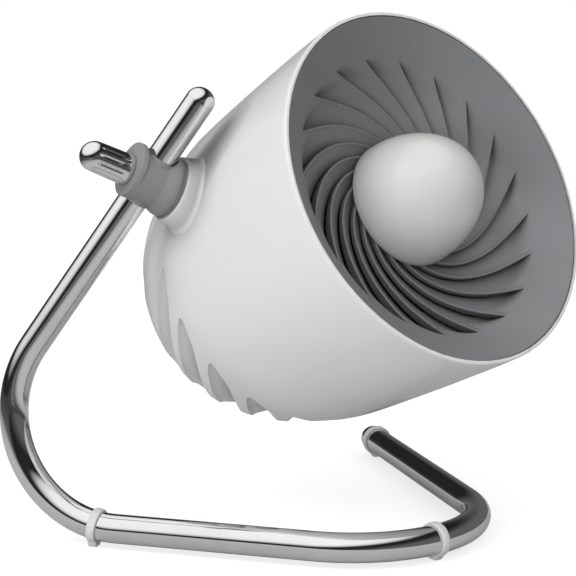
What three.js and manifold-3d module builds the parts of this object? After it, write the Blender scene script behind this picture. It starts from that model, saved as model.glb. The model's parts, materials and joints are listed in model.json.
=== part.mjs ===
// A compact desk air circulator: a cup-shaped fan head clamped to a bent chrome tube stand.
// Millimetres, +Z up. The stand's straight base run lies along +X and the short leg goes back along +Y.
// Head pieces are drawn in the head's own frame: +Z is the way the air leaves, z = 0 is the mouth.
// Clamp pieces are drawn about the pivot axis: +Z points from the thumb knob to the head.
import * as THREE from 'three';
import { mergeVertices } from 'three/addons/utils/BufferGeometryUtils.js';
import Module from 'manifold-3d';

const wasm = await Module();
wasm.setup();

// ---- driving dimensions ----
const GAP = 0.3; // clearance between touching pieces
const DEG = Math.PI / 180;

// stand
const TUBE_R = 5;
const TUBE_WALL = 1;
const TUBE_SIDES = 14;
const TUBE_HEIGHT = 6.5; // base tube's centre line above the table
const RUN_LENGTH = 68.4;
const BASE_BEND_R = 43.8;
const BASE_BEND_TURN = 123.2 * DEG;
const LEG_LENGTH = 105.7; // to the tip of its end cap
const POST_BEND_R = 38;
const POST_LEAN = 35.06 * DEG; // from vertical
const POST_YAW = 8.3 * DEG; // away from the base run
const POST_LENGTH = 104.7; // to the tip of its end cap
const CAP_DOME = 4.5;
const CAP_PLUG_LENGTH = 8;
const BEND_STEPS = 10;

// ring feet
const FOOT_R = 6.1;
const FOOT_WIDTH = 3.2;
const FOOT_PAD_WIDTH = 6;
const FOOT_PAD_HEIGHT = 1.6;
const FOOT_BEND_ANGLE = 10.6 * DEG; // back from the run, into the post bend
const FOOT_BASE_ANGLE = 55 * DEG; // round the base bend
const FOOT_LEG_AT = 96.5; // along the leg

// clamp on the post
const CLAMP_BELOW_TOP = 35.5;
const PIVOT_AZIMUTH = 45.75 * DEG;
const PIVOT_DROP = 23.07 * DEG;
const BUSH_R = 5.65;
const BUSH_LENGTH = 20;
const BUSH_SLIT = 1.2;
const BLOCK_BORE_R = 5.95;
const BLOCK_R = 8.6;
const BLOCK_FACE = -7.4;
const FLANGE_R = 10.3;
const FLANGE_FACE = 8;
const COLLAR_R = 8.9;
const COLLAR_RAISE = 1.1;
const COLLAR_WIDTH = 2;
const SCREW_BOSS_R = 3.9; // threaded boss that stands inside the knob's hollow rim
const SCREW_BOSS_END = -9.2;
const SCREW_R = 1.9;
const SCREW_IN_KNOB = 6;
const PAD_R = 2.7;
const PAD_FACE = -6.05;
const PAD_THICKNESS = 0.75;
const PAD_TRAVEL = 0.6; // room behind the pad when the screw is backed off
const KNOB_R = 4.75;
const KNOB_FLARE_R = 5.15;
const KNOB_RIM_INNER_R = 4.3;
const KNOB_RIM_FACE = -7.7;
const KNOB_SEAT = -9.6; // bottom of the hollow inside the rim
const KNOB_LENGTH = 17.4;
const KNOB_FLUTES = 12;
const AXLE_R = 3;
const AXLE_ROOT = 6.75;
const AXLE_END = 27.5;
const WASHER_R = 6;
const WASHER_THICKNESS = 0.9;
const FRICTION_WASHER_R = 9.8;
const FRICTION_WASHER_THICKNESS = 0.5;
const NUT_R = 5.2;
const NUT_HEIGHT = 3.6;

// head
const POST_TO_HEAD_AXIS = 72.9;
const PIVOT_DEPTH = 61.7; // pivot axis behind the mouth
const HEAD_TILT = 29.19 * DEG; // about the pivot, up from level
const HEAD_SIDES = 40;
const WALL = 2;
const MOUTH_R = 62;
const BOSS_R = 11.2;
const BOSS_ROOT_R = 12.6;
const BOSS_INNER_R = 7;
const REAR_FLAT_R = 22;
const HEAD_DEPTH = 126;
const LOUVRE_COUNT = 19;
const LOUVRE_FRONT = 80.5;
const LOUVRE_REAR = 117.5;
const LOUVRE_SWEEP = 1.1 * DEG; // per millimetre of depth
const LOUVRE_PHASE = -173 * DEG;
const LOUVRE_RIB = 4.5 * DEG; // flush edge of each blade
const LOUVRE_SPAN = 20.4 * DEG;
const LOUVRE_SINK = 5.2;
const LOUVRE_BLANK = 18; // the blade behind the pivot boss stays flush
const BRACKET_COUNT = 3;
const BRACKET_DEPTH = 50.5;
const BRACKET_BOSS_AT = 52.6;
const BRACKET_BOSS_R = 4.8;
const BRACKET_PAD_R = 3.8;
const BRACKET_HUB_R = 20;
const BRACKET_THICKNESS = 1.5;
const BRACKET_SCREW_R = 1.5;
const MOTOR_SCREW_AT = 15;
const MOTOR_SCREW_R = 1.2;

// grille
const GRILLE_R = 60.1;
const BAND_INNER_R = 48.7;
const BAND_DEPTH = 9;
const BAND_WALL = 1.6;
const VANE_COUNT = 20;
const VANE_SWEEP = 65.5 * DEG;
const VANE_HUB_DEPTH = 18;
const VANE_RIDGE = 1.4; // flat top edge of each vane
const VANE_SPAN = 18.6 * DEG;
const VANE_THICKNESS = 1.6; // at its low side
const VANE_RIB_DEPTH = 4.2; // at its ridge
const VANE_PHASE = 3.3 * DEG;
const VANE_SET_BACK = 0.5;
const HUB_R = 20.6;
const HUB_BACK = 24.2; // depth of the closed back of the grille's hub
const HUB_FLOOR = 22.4;
const SPIGOT_R = 18.8; // ring that centres the nose cone
const NOSE_R = 21.2;
const NOSE_BASE_DEPTH = 17.5;
const NOSE_HEIGHT = 30;

// motor, shaft and propeller
const SHAFT_R = 2;
const SHAFT_FRONT = -26;
const SHAFT_REAR = -95;
const BEARING_R = 5;
const BEARING_LENGTH = 4;
const CAN_R = 24;
const CAN_WALL = 1.2;
const CAN_FRONT = -52.6;
const CAN_REAR = -92;
const CORE_FRONT = -61;
const CORE_REAR = -83;
const CORE_R = 22.4;
const ROTOR_R = 12;
const AIR_GAP = 0.5;
const COIL_HEIGHT = 4;
const PROP_R = 51;
const PROP_HUB_R = 14;
const PROP_FRONT = -28.5;
const PROP_REAR = -44;
const BLADE_COUNT = 5;
const BLADE_THICKNESS = 1.6;

// speed control and inlet
const SWITCH_DEPTH = 106;
const SWITCH_SIZE = 16;
const SWITCH_KNOB_R = 9;
const SWITCH_KNOB_HEIGHT = 7;
const GLAND_AT = 17;
const GLAND_R = 4;

const colours = {
  chrome: [0xd8d9dc, 0.08, 1],
  steel: [0xa9abad, 0.35, 1],
  white: [0xe4e3e1, 0.28, 0],
  grey: [0x828085, 0.6, 0],
  grille: [0x717477, 0.5, 0],
  nose: [0xcfcdca, 0.3, 0],
  rubber: [0xd9d8d2, 0.55, 0],
  black: [0x26272a, 0.5, 0],
  copper: [0xb5713c, 0.4, 1],
  bronze: [0xa98a4e, 0.45, 1],
};

// ---- making and joining solids ----
function toSolid(geometry) {
  const bare = geometry.clone();
  for (const name of Object.keys(bare.attributes)) {
    if (name !== 'position') bare.deleteAttribute(name);
  }
  const merged = mergeVertices(bare, 1e-4);
  const index = merged.index.array;
  const kept = [];
  for (let i = 0; i < index.length; i += 3) {
    const [a, b, c] = [index[i], index[i + 1], index[i + 2]];
    if (a !== b && b !== c && c !== a) kept.push(a, b, c);
  }
  return new wasm.Manifold(new wasm.Mesh({
    numProp: 3,
    vertProperties: Float32Array.from(merged.attributes.position.array),
    triVerts: Uint32Array.from(kept),
  }));
}

function toGeometry(solid) {
  const data = solid.getMesh();
  const geometry = new THREE.BufferGeometry();
  const positions = new Float32Array(data.numVert * 3);
  for (let i = 0; i < data.numVert; i += 1) {
    for (let k = 0; k < 3; k += 1) positions[3 * i + k] = data.vertProperties[data.numProp * i + k];
  }
  geometry.setAttribute('position', new THREE.BufferAttribute(positions, 3));
  geometry.setIndex(new THREE.BufferAttribute(Uint32Array.from(data.triVerts), 1));
  geometry.computeVertexNormals();
  return geometry;
}

function join(...parts) {
  return toGeometry(parts.map(toSolid).reduce((sum, part) => sum.add(part)));
}

function cut(body, ...tools) {
  return toGeometry(tools.map(toSolid).reduce((left, tool) => left.subtract(tool), toSolid(body)));
}

// a profile of [radius, z] pairs, up the outside and down the inside, turned about Z
function turned(profile, sides = 20) {
  const points = profile.map(([r, z]) => new THREE.Vector2(r, z));
  return toGeometry(toSolid(new THREE.LatheGeometry(points, sides).rotateX(Math.PI / 2)));
}

function disc(radius, low, high, sides = 20) {
  return turned([[0, low], [radius, low], [radius, high], [0, high]], sides);
}

function ring(outer, inner, low, high, sides = 20) {
  return turned([[inner, low], [outer, low], [outer, high], [inner, high], [inner, low]], sides);
}

function box(sizeX, sizeY, sizeZ, x, y, z) {
  return new THREE.BoxGeometry(sizeX, sizeY, sizeZ).translate(x, y, z);
}

// a block whose edges u, v, w run from 0 to 1, bent by a rule that gives each corner's place;
// u is angle, v is along and w is up, so u is taken from the far side to keep the faces outwards
function bent(stepsU, stepsV, stepsW, rule) {
  const geometry = new THREE.BoxGeometry(1, 1, 1, stepsU, stepsV, stepsW).translate(0.5, 0.5, 0.5);
  const position = geometry.attributes.position;
  for (let i = 0; i < position.count; i += 1) {
    position.setXYZ(i, ...rule(1 - position.getX(i), position.getY(i), position.getZ(i)));
  }
  return geometry;
}

function polar(radius, angle, z) {
  return [radius * Math.cos(angle), radius * Math.sin(angle), z];
}

function mix(from, to, share) {
  return from + (to - from) * share;
}

// value of a piecewise straight line through [x, y] points, x rising
function along(points, x) {
  const next = points.findIndex(([at]) => at >= x);
  if (next <= 0) return next === 0 ? points[0][1] : points[points.length - 1][1];
  const [[x0, y0], [x1, y1]] = [points[next - 1], points[next]];
  return mix(y0, y1, (x - x0) / (x1 - x0));
}

function piece(name, colour, geometry) {
  const [color, roughness, metalness] = colours[colour];
  const mesh = new THREE.Mesh(geometry, new THREE.MeshStandardMaterial({ color, roughness, metalness }));
  mesh.name = name;
  return mesh;
}

function aimed(axis) {
  return new THREE.Quaternion().setFromUnitVectors(new THREE.Vector3(0, 0, 1), axis);
}

// ---- the stand's centre line ----
const alongRun = new THREE.Vector3(1, 0, 0);
const postAxis = new THREE.Vector3(
  Math.sin(POST_LEAN) * Math.cos(POST_YAW),
  Math.sin(POST_LEAN) * Math.sin(POST_YAW),
  Math.cos(POST_LEAN),
);
const runStart = new THREE.Vector3(0, 0, TUBE_HEIGHT);
const runEnd = runStart.clone().addScaledVector(alongRun, RUN_LENGTH);

// an arc that leaves its start along one unit vector and curves towards another, at right angles to it
class Bend extends THREE.Curve {
  constructor(start, heading, inward, radius, turn) {
    super();
    Object.assign(this, { start, heading, inward, radius, turn });
  }

  getPoint(t, target = new THREE.Vector3()) {
    const angle = t * this.turn;
    return target.copy(this.start)
      .addScaledVector(this.heading, this.radius * Math.sin(angle))
      .addScaledVector(this.inward, this.radius * (1 - Math.cos(angle)));
  }

  end() {
    return this.getPoint(1);
  }

  endHeading() {
    return this.heading.clone().multiplyScalar(Math.cos(this.turn))
      .addScaledVector(this.inward, Math.sin(this.turn));
  }
}

// straights and bends in a row, with one step for each straight
class RodPath extends THREE.Curve {
  constructor(stretches) {
    super();
    this.stretches = stretches;
    this.steps = stretches.reduce((sum, [, steps]) => sum + steps, 0);
  }

  getPoint(t, target = new THREE.Vector3()) {
    let left = Math.min(Math.max(t, 0), 1) * this.steps;
    for (const [curve, steps] of this.stretches) {
      if (left <= steps + 1e-9) return target.copy(curve.getPoint(Math.min(left / steps, 1)));
      left -= steps;
    }
    return target;
  }

  getPointAt(u, target) {
    return this.getPoint(u, target);
  }

  getTangentAt(u, target) {
    return this.getTangent(u, target);
  }
}

const baseBend = new Bend(runEnd, alongRun, new THREE.Vector3(0, 1, 0), BASE_BEND_R, BASE_BEND_TURN);
const backAlongRun = alongRun.clone().negate();
const postInward = postAxis.clone()
  .addScaledVector(backAlongRun, -postAxis.dot(backAlongRun))
  .normalize();
const postBend = new Bend(runStart, backAlongRun, postInward, POST_BEND_R, backAlongRun.angleTo(postAxis));
const postFoot = postBend.end();
const postTop = postFoot.clone().addScaledVector(postAxis, POST_LENGTH);
const legAxis = baseBend.endHeading();
const legFoot = baseBend.end();
const legTip = legFoot.clone().addScaledVector(legAxis, LEG_LENGTH);

function circle(radius) {
  return new THREE.Shape().absarc(0, 0, radius, 0, 2 * Math.PI);
}

function reversed(curve) {
  const flipped = new THREE.Curve();
  flipped.getPoint = (t, target = new THREE.Vector3()) => target.copy(curve.getPoint(1 - t));
  return flipped;
}

function rod(section, stretches, sides) {
  const path = new RodPath(stretches);
  return new THREE.ExtrudeGeometry(section, {
    steps: path.steps,
    extrudePath: path,
    curveSegments: sides / 2,
  });
}

function makeStandTube() {
  const section = circle(TUBE_R);
  section.holes.push(circle(TUBE_R - TUBE_WALL));
  const postEnd = postTop.clone().addScaledVector(postAxis, -CAP_DOME - GAP);
  const legEnd = legTip.clone().addScaledVector(legAxis, -CAP_DOME - GAP);
  const stretches = [
    [new THREE.LineCurve3(postEnd, postFoot), 1],
    [reversed(postBend), BEND_STEPS],
    [new THREE.LineCurve3(runStart, runEnd), 1],
    [baseBend, BEND_STEPS],
    [new THREE.LineCurve3(legFoot, legEnd), 1],
  ];
  return piece('stand_tube', 'chrome', rod(section, stretches, TUBE_SIDES));
}

// domed cap whose plug goes down the tube, with its tip at z = 0
function makeEndCap(name, tip, axis) {
  const plugR = TUBE_R - TUBE_WALL - GAP;
  const profile = [
    [0, -CAP_DOME - CAP_PLUG_LENGTH],
    [plugR, -CAP_DOME - CAP_PLUG_LENGTH],
    [plugR, -CAP_DOME],
    [TUBE_R, -CAP_DOME],
  ];
  for (let step = 1; step <= 4; step += 1) {
    const angle = (step / 4) * (Math.PI / 2);
    profile.push([TUBE_R * Math.cos(angle), CAP_DOME * (Math.sin(angle) - 1)]);
  }
  const mesh = piece(name, 'chrome', turned(profile, TUBE_SIDES));
  mesh.position.copy(tip);
  mesh.quaternion.copy(aimed(axis));
  return mesh;
}

// rubber ring round the tube with a small flat pad that stands on the table
function makeRingFoot(name, centre, axis) {
  const bore = TUBE_R + GAP;
  const half = FOOT_WIDTH / 2;
  const band = turned([
    [bore, -half],
    [FOOT_R - 0.4, -half],
    [FOOT_R, -half + 0.5],
    [FOOT_R, half - 0.5],
    [FOOT_R - 0.4, half],
    [bore, half],
    [bore, -half],
  ], TUBE_SIDES).applyQuaternion(aimed(axis));
  const pad = box(FOOT_WIDTH, FOOT_PAD_WIDTH, FOOT_PAD_HEIGHT, 0, 0, FOOT_PAD_HEIGHT / 2 - centre.z)
    .rotateZ(Math.atan2(axis.y, axis.x));
  const clearance = disc(bore, -10, 10, TUBE_SIDES).applyQuaternion(aimed(axis));
  const mesh = piece(name, 'rubber', cut(join(band, pad), clearance));
  mesh.position.copy(centre);
  return mesh;
}

function makeStand() {
  const group = new THREE.Group();
  const footBend = new Bend(runStart, backAlongRun, postInward, POST_BEND_R, FOOT_BEND_ANGLE);
  const footBase = new Bend(runEnd, alongRun, baseBend.inward, BASE_BEND_R, FOOT_BASE_ANGLE);
  group.add(
    makeStandTube(),
    makeEndCap('post_end_cap', postTop, postAxis),
    makeEndCap('leg_end_cap', legTip, legAxis),
    makeRingFoot('ring_foot_post', footBend.end(), footBend.endHeading()),
    makeRingFoot('ring_foot_bend', footBase.end(), footBase.endHeading()),
    makeRingFoot('ring_foot_leg', legFoot.clone().addScaledVector(legAxis, FOOT_LEG_AT), legAxis),
  );
  return group;
}

// ---- the clamp ----
const clampCentre = postTop.clone().addScaledVector(postAxis, -CLAMP_BELOW_TOP);
const pivotAxis = new THREE.Vector3(
  Math.cos(PIVOT_DROP) * Math.cos(PIVOT_AZIMUTH),
  Math.cos(PIVOT_DROP) * Math.sin(PIVOT_AZIMUTH),
  -Math.sin(PIVOT_DROP),
);
const clampY = postAxis.clone().addScaledVector(pivotAxis, -postAxis.dot(pivotAxis)).normalize();
const clampX = clampY.clone().cross(pivotAxis);
const clampTurn = new THREE.Quaternion().setFromRotationMatrix(
  new THREE.Matrix4().makeBasis(clampX, clampY, pivotAxis),
);
const postInClamp = postAxis.clone().applyQuaternion(clampTurn.clone().invert());

function alongPost(geometry) {
  return geometry.applyQuaternion(aimed(postInClamp));
}

function makePostBush() {
  const sleeve = ring(BUSH_R, TUBE_R + 0.15, -BUSH_LENGTH / 2, BUSH_LENGTH / 2, TUBE_SIDES);
  const slit = box(2 * BUSH_R, BUSH_SLIT, 2 * BUSH_LENGTH, BUSH_R + 1, 0, 0);
  return piece('post_bush', 'grey', alongPost(cut(sleeve, slit)));
}

function makePivotBlock() {
  const spool = turned([
    [0, BLOCK_FACE],
    [BLOCK_R - 0.7, BLOCK_FACE],
    [BLOCK_R, BLOCK_FACE + 0.7],
    [BLOCK_R, FLANGE_FACE - 4.2],
    [FLANGE_R, FLANGE_FACE - 2.2],
    [FLANGE_R, FLANGE_FACE - 0.5],
    [FLANGE_R - 0.5, FLANGE_FACE],
    [0, FLANGE_FACE],
  ], 24);
  const collar = disc(COLLAR_R, BLOCK_FACE, BLOCK_FACE + COLLAR_WIDTH, 24).translate(0, COLLAR_RAISE, 0);
  const postBore = alongPost(disc(BLOCK_BORE_R, -20, 20, TUBE_SIDES));
  const axleSeat = disc(AXLE_R + GAP, AXLE_ROOT - GAP, FLANGE_FACE + 1);
  const padPocket = disc(PAD_R + GAP, PAD_FACE - PAD_THICKNESS - PAD_TRAVEL - GAP, -BLOCK_BORE_R / 2);
  const screwHole = disc(SCREW_R + GAP, SCREW_BOSS_END - 1, PAD_FACE);
  const screwBoss = disc(SCREW_BOSS_R, SCREW_BOSS_END, BLOCK_FACE + 0.5);
  const body = join(spool, collar, screwBoss);
  return piece('pivot_block', 'grey', cut(body, postBore, axleSeat, padPocket, screwHole));
}

function makePressurePad() {
  return piece('pressure_pad', 'bronze', disc(PAD_R, PAD_FACE - PAD_THICKNESS, PAD_FACE, 16));
}

function makeKnobScrew() {
  const tip = PAD_FACE - PAD_THICKNESS - GAP;
  return piece('knob_screw', 'steel', disc(SCREW_R, KNOB_SEAT - SCREW_IN_KNOB, tip, 12));
}

// thumb knob: domed end, shallow flutes and a hollow rim that runs round the block's threaded boss
function makeKnobGrip() {
  const back = KNOB_RIM_FACE - KNOB_LENGTH;
  const domeSteps = 5;
  const dome = Array.from({ length: domeSteps + 1 }, (_, i) => {
    const angle = (i / domeSteps) * (Math.PI / 2);
    return [KNOB_R * Math.sin(angle), back + KNOB_R * (1 - Math.cos(angle))];
  });
  const grip = turned([
    ...dome,
    [KNOB_FLARE_R, KNOB_RIM_FACE - 1],
    [KNOB_FLARE_R - 0.2, KNOB_RIM_FACE],
    [KNOB_RIM_INNER_R, KNOB_RIM_FACE],
    [KNOB_RIM_INNER_R, KNOB_SEAT],
    [0, KNOB_SEAT],
  ], 24);
  const fluteR = 0.55;
  const flute = disc(fluteR, back + KNOB_R + 1, KNOB_SEAT - 0.5, 6);
  const flutes = Array.from({ length: KNOB_FLUTES }, (_, i) => {
    const [x, y] = polar(mix(KNOB_R, KNOB_FLARE_R, 0.6) + 0.15, (i * 2 * Math.PI) / KNOB_FLUTES, 0);
    return flute.clone().translate(x, y, 0);
  });
  const screwHole = disc(SCREW_R + GAP, KNOB_SEAT - SCREW_IN_KNOB - GAP, KNOB_SEAT + 1, 12);
  return piece('knob_grip', 'chrome', cut(grip, ...flutes, screwHole));
}

function makePivotAxle() {
  return piece('pivot_axle', 'steel', disc(AXLE_R, AXLE_ROOT, AXLE_END));
}

function makeWasher(name, colour, radius, low, thickness) {
  return piece(name, colour, ring(radius, AXLE_R + GAP, low, low + thickness));
}

const BOSS_FACE = FLANGE_FACE + GAP + FRICTION_WASHER_THICKNESS + GAP;
const BOSS_BACK = 20.5; // end of the bearing tube inside the housing
const SPRING_LOW = BOSS_BACK + GAP;

function makeAxleNut() {
  const low = SPRING_LOW + WASHER_THICKNESS + GAP;
  const hex = disc(NUT_R, low, low + NUT_HEIGHT, 6);
  return piece('axle_nut', 'steel', cut(hex, disc(AXLE_R + GAP, 0, AXLE_END + 1)));
}

function makeClamp() {
  const group = new THREE.Group();
  group.add(
    makePostBush(),
    makePivotBlock(),
    makePressurePad(),
    makeKnobScrew(),
    makeKnobGrip(),
    makePivotAxle(),
    makeWasher('friction_washer', 'grey', FRICTION_WASHER_R, FLANGE_FACE + GAP, FRICTION_WASHER_THICKNESS),
    makeWasher('spring_washer', 'steel', WASHER_R, SPRING_LOW, WASHER_THICKNESS),
    makeAxleNut(),
  );
  group.position.copy(clampCentre);
  group.quaternion.copy(clampTurn);
  return group;
}

// ---- the head's housing ----
// outer wall: depth behind the mouth and radius
const outerWall = [
  [0, MOUTH_R], [30, 60.5], [52, 59], [70, 57.7], [80, 55.6], [90, 52.3], [100, 48], [110, 42.6],
  [118, 36.2], [123.6, 28.5], [HEAD_DEPTH, REAR_FLAT_R],
];

function wallRadius(depth) {
  return along(outerWall, depth);
}

function wallPoints(from, to, inset) {
  return outerWall.filter(([depth]) => depth > from && depth < to).map(([depth, r]) => [r - inset, -depth]);
}

function makeFrontShell() {
  const lipInner = GRILLE_R + GAP;
  const end = LOUVRE_FRONT + 1;
  return turned([
    [wallRadius(end) - WALL, -end],
    [wallRadius(end), -end],
    ...wallPoints(1, end, 0).reverse(),
    [MOUTH_R, -1],
    [MOUTH_R - 0.6, 0],
    [lipInner, 0],
    [lipInner, -9],
    ...wallPoints(20, end, WALL),
    [wallRadius(end) - WALL, -end],
  ], HEAD_SIDES);
}

function makeRearCap() {
  const start = LOUVRE_REAR - 1;
  return turned([
    [0, -HEAD_DEPTH],
    [REAR_FLAT_R, -HEAD_DEPTH],
    ...wallPoints(start, HEAD_DEPTH, 0).reverse(),
    [wallRadius(start), -start],
    [wallRadius(start) - WALL, -start],
    [REAR_FLAT_R + 2, -HEAD_DEPTH + WALL],
    [0, -HEAD_DEPTH + WALL],
  ], HEAD_SIDES);
}

// swept inlet blade: flush along its rib, then sinking under the next blade's rib
function makeLouvre(index) {
  const start = LOUVRE_PHASE + (index * 2 * Math.PI) / LOUVRE_COUNT;
  const sink = index === LOUVRE_BLANK ? 0 : LOUVRE_SINK;
  return bent(2, 5, 1, (u, v, w) => {
    const depth = mix(LOUVRE_FRONT - 0.5, LOUVRE_REAR + 0.5, v);
    const turn = u === 0.5 ? LOUVRE_RIB : u * LOUVRE_SPAN;
    const fall = u === 1 ? sink * Math.min(1, 3.2 * v, 3.2 * (1 - v)) : 0;
    const radius = wallRadius(depth) - 0.2 - fall - (1 - w) * (WALL - 0.4);
    return polar(radius, start + turn + LOUVRE_SWEEP * (depth - LOUVRE_FRONT), -depth);
  });
}

function onPivot(geometry) {
  return geometry.rotateY(Math.PI / 2).translate(0, 0, -PIVOT_DEPTH);
}

function bossFaceX() {
  return BOSS_FACE - POST_TO_HEAD_AXIS;
}

function makeBoss() {
  const root = -wallRadius(PIVOT_DEPTH) + WALL + 1;
  return onPivot(turned([
    [0, bossFaceX()],
    [BOSS_R - 0.8, bossFaceX()],
    [BOSS_R, bossFaceX() + 0.8],
    [BOSS_ROOT_R, root],
    [BOSS_INNER_R, root],
    [BOSS_INNER_R, BOSS_BACK - POST_TO_HEAD_AXIS],
    [0, BOSS_BACK - POST_TO_HEAD_AXIS],
  ], 24));
}

function bracketAngle(index) {
  return (index * 2 * Math.PI) / BRACKET_COUNT;
}

function makeHousing() {
  const bossFront = -BRACKET_DEPTH - BRACKET_THICKNESS - GAP;
  const counts = Array.from({ length: BRACKET_COUNT }, (_, i) => i);
  const bosses = counts.map((i) => {
    const [x, y] = polar(BRACKET_BOSS_AT, bracketAngle(i), 0);
    return disc(BRACKET_BOSS_R, -BRACKET_DEPTH - 14, bossFront, 12).translate(x, y, 0);
  });
  const pilots = counts.map((i) => {
    const [x, y] = polar(BRACKET_BOSS_AT, bracketAngle(i), 0);
    return disc(BRACKET_SCREW_R + GAP, -BRACKET_DEPTH - 12, -BRACKET_DEPTH, 10).translate(x, y, 0);
  });
  const louvres = Array.from({ length: LOUVRE_COUNT }, (_, i) => makeLouvre(i));
  const axleHole = onPivot(disc(AXLE_R + GAP, -POST_TO_HEAD_AXIS, -30));
  const stemHole = disc(3 + GAP, -HEAD_DEPTH - 1, -HEAD_DEPTH + WALL + 1, 16);
  const glandHole = disc(GLAND_R - 1 + GAP, -HEAD_DEPTH - 1, -HEAD_DEPTH + WALL + 1, 16)
    .translate(0, -GLAND_AT, 0);
  const body = join(makeFrontShell(), makeRearCap(), ...louvres, makeBoss(), ...bosses);
  return piece('housing', 'white', cut(body, ...pilots, axleHole, stemHole, glandHole));
}

// ---- grille and nose cone ----
// front surface of the dished grille: radius and depth
const dish = [
  [HUB_R, VANE_HUB_DEPTH], [30, 16.6], [40, 13.4], [BAND_INNER_R, BAND_DEPTH], [54, 4.6], [58, 1.6],
];

// how far a vane's low side lies behind its ridge: share of the way out and fall
const vaneFall = [[0, 3.5], [0.2, 5], [0.4, 7], [0.6, 8], [0.8, 5.5], [1, 0.4]];

// swept vane: a narrow ridge, then a face that falls away under the next vane's ridge
function makeVane(index) {
  const start = VANE_PHASE + (index * 2 * Math.PI) / VANE_COUNT;
  return bent(2, 5, 1, (u, v, w) => {
    const radius = mix(HUB_R - 1.3, BAND_INNER_R + 1.5, v);
    const share = (radius - HUB_R) / (BAND_INNER_R - HUB_R);
    const swept = start + VANE_SWEEP * (1.48 * share - 0.48 * share * share);
    const turn = u === 0.5 ? VANE_RIDGE / radius : u * VANE_SPAN;
    const fall = u === 1 ? along(vaneFall, v) : 0;
    const thickness = u === 1 ? VANE_THICKNESS : VANE_RIB_DEPTH;
    const depth = along(dish, radius) + VANE_SET_BACK + fall + thickness * (1 - w);
    return polar(radius, swept + turn - VANE_RIDGE / radius / 2, -depth);
  });
}

function makeGrille() {
  const slope = dish.slice(3);
  const band = turned([
    ...slope.map(([r, depth]) => [r, -depth - BAND_WALL]),
    [GRILLE_R - BAND_WALL, -8],
    [GRILLE_R, -8],
    [GRILLE_R, -0.5],
    [GRILLE_R - 0.8, -0.3],
    ...slope.map(([r, depth]) => [r, -depth]).reverse(),
    [BAND_INNER_R, -BAND_DEPTH - BAND_WALL],
  ], HEAD_SIDES);
  const hub = turned([
    [0, -HUB_BACK],
    [HUB_R - 1, -HUB_BACK],
    [HUB_R, -HUB_BACK + 1.2],
    [HUB_R, -NOSE_BASE_DEPTH - GAP],
    [SPIGOT_R, -NOSE_BASE_DEPTH - GAP],
    [SPIGOT_R, -NOSE_BASE_DEPTH + 2],
    [SPIGOT_R - BAND_WALL, -NOSE_BASE_DEPTH + 2],
    [SPIGOT_R - BAND_WALL, -HUB_FLOOR],
    [0, -HUB_FLOOR],
  ], 24);
  const vanes = Array.from({ length: VANE_COUNT }, (_, i) => makeVane(i));
  return piece('grille', 'grille', join(band, hub, ...vanes));
}

function makeNoseCone() {
  const steps = 6;
  const dome = (radius, height, rising) => Array.from({ length: steps + 1 }, (_, i) => {
    const angle = ((rising ? i : steps - i) / steps) * (Math.PI / 2);
    return [radius * Math.cos(angle), height * Math.sin(angle) - NOSE_BASE_DEPTH];
  });
  const outside = dome(NOSE_R, NOSE_HEIGHT, true);
  const inside = dome(NOSE_R - 1.7, NOSE_HEIGHT - 1.7, false);
  return piece('nose_cone', 'nose', turned([...outside, ...inside, outside[0]], 30));
}

// ---- motor ----
function makeBracket() {
  const plate = [-BRACKET_DEPTH - BRACKET_THICKNESS, -BRACKET_DEPTH];
  const through = [-BRACKET_DEPTH - 10, -BRACKET_DEPTH + 10];
  const middle = -BRACKET_DEPTH - BRACKET_THICKNESS / 2;
  const hub = disc(BRACKET_HUB_R, ...plate, 24);
  const arms = Array.from({ length: BRACKET_COUNT }, (_, i) => {
    const width = 2 * BRACKET_PAD_R - 1;
    const arm = box(BRACKET_BOSS_AT, width, BRACKET_THICKNESS, BRACKET_BOSS_AT / 2, 0, middle);
    const pad = disc(BRACKET_PAD_R, ...plate, 14).translate(BRACKET_BOSS_AT, 0, 0);
    return join(arm, pad).rotateZ(bracketAngle(i));
  });
  const holes = Array.from({ length: BRACKET_COUNT }, (_, i) => {
    const outer = disc(BRACKET_SCREW_R + GAP, ...through, 10).translate(BRACKET_BOSS_AT, 0, 0);
    const inner = disc(MOTOR_SCREW_R + GAP, ...through, 10).translate(MOTOR_SCREW_AT, 0, 0);
    return join(outer, inner).rotateZ(bracketAngle(i));
  });
  const shaftHole = disc(BEARING_R + 1, ...through);
  return piece('motor_bracket', 'steel', cut(join(hub, ...arms), shaftHole, ...holes));
}

function makeScrew(name, headR, shankR, length) {
  const head = turned([[0, 0], [headR, 0], [headR, 1], [headR * 0.6, 1.8], [0, 1.8]], 12);
  const shank = disc(shankR, -length, 0.2, 10);
  const slot = box(2 * headR, 0.6, 0.8, 0, 0, 1.8);
  return piece(name, 'steel', cut(join(head, shank), slot));
}

function makeBracketScrew(index) {
  const screw = makeScrew(`bracket_screw_${index + 1}`, 2.8, BRACKET_SCREW_R, 9);
  screw.position.set(...polar(BRACKET_BOSS_AT, bracketAngle(index), -BRACKET_DEPTH + GAP));
  return screw;
}

function makeMotorScrew(index) {
  const screw = makeScrew(`motor_screw_${index + 1}`, 2.4, MOTOR_SCREW_R, 5.5);
  screw.position.set(...polar(MOTOR_SCREW_AT, bracketAngle(index), -BRACKET_DEPTH + GAP));
  return screw;
}

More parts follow.
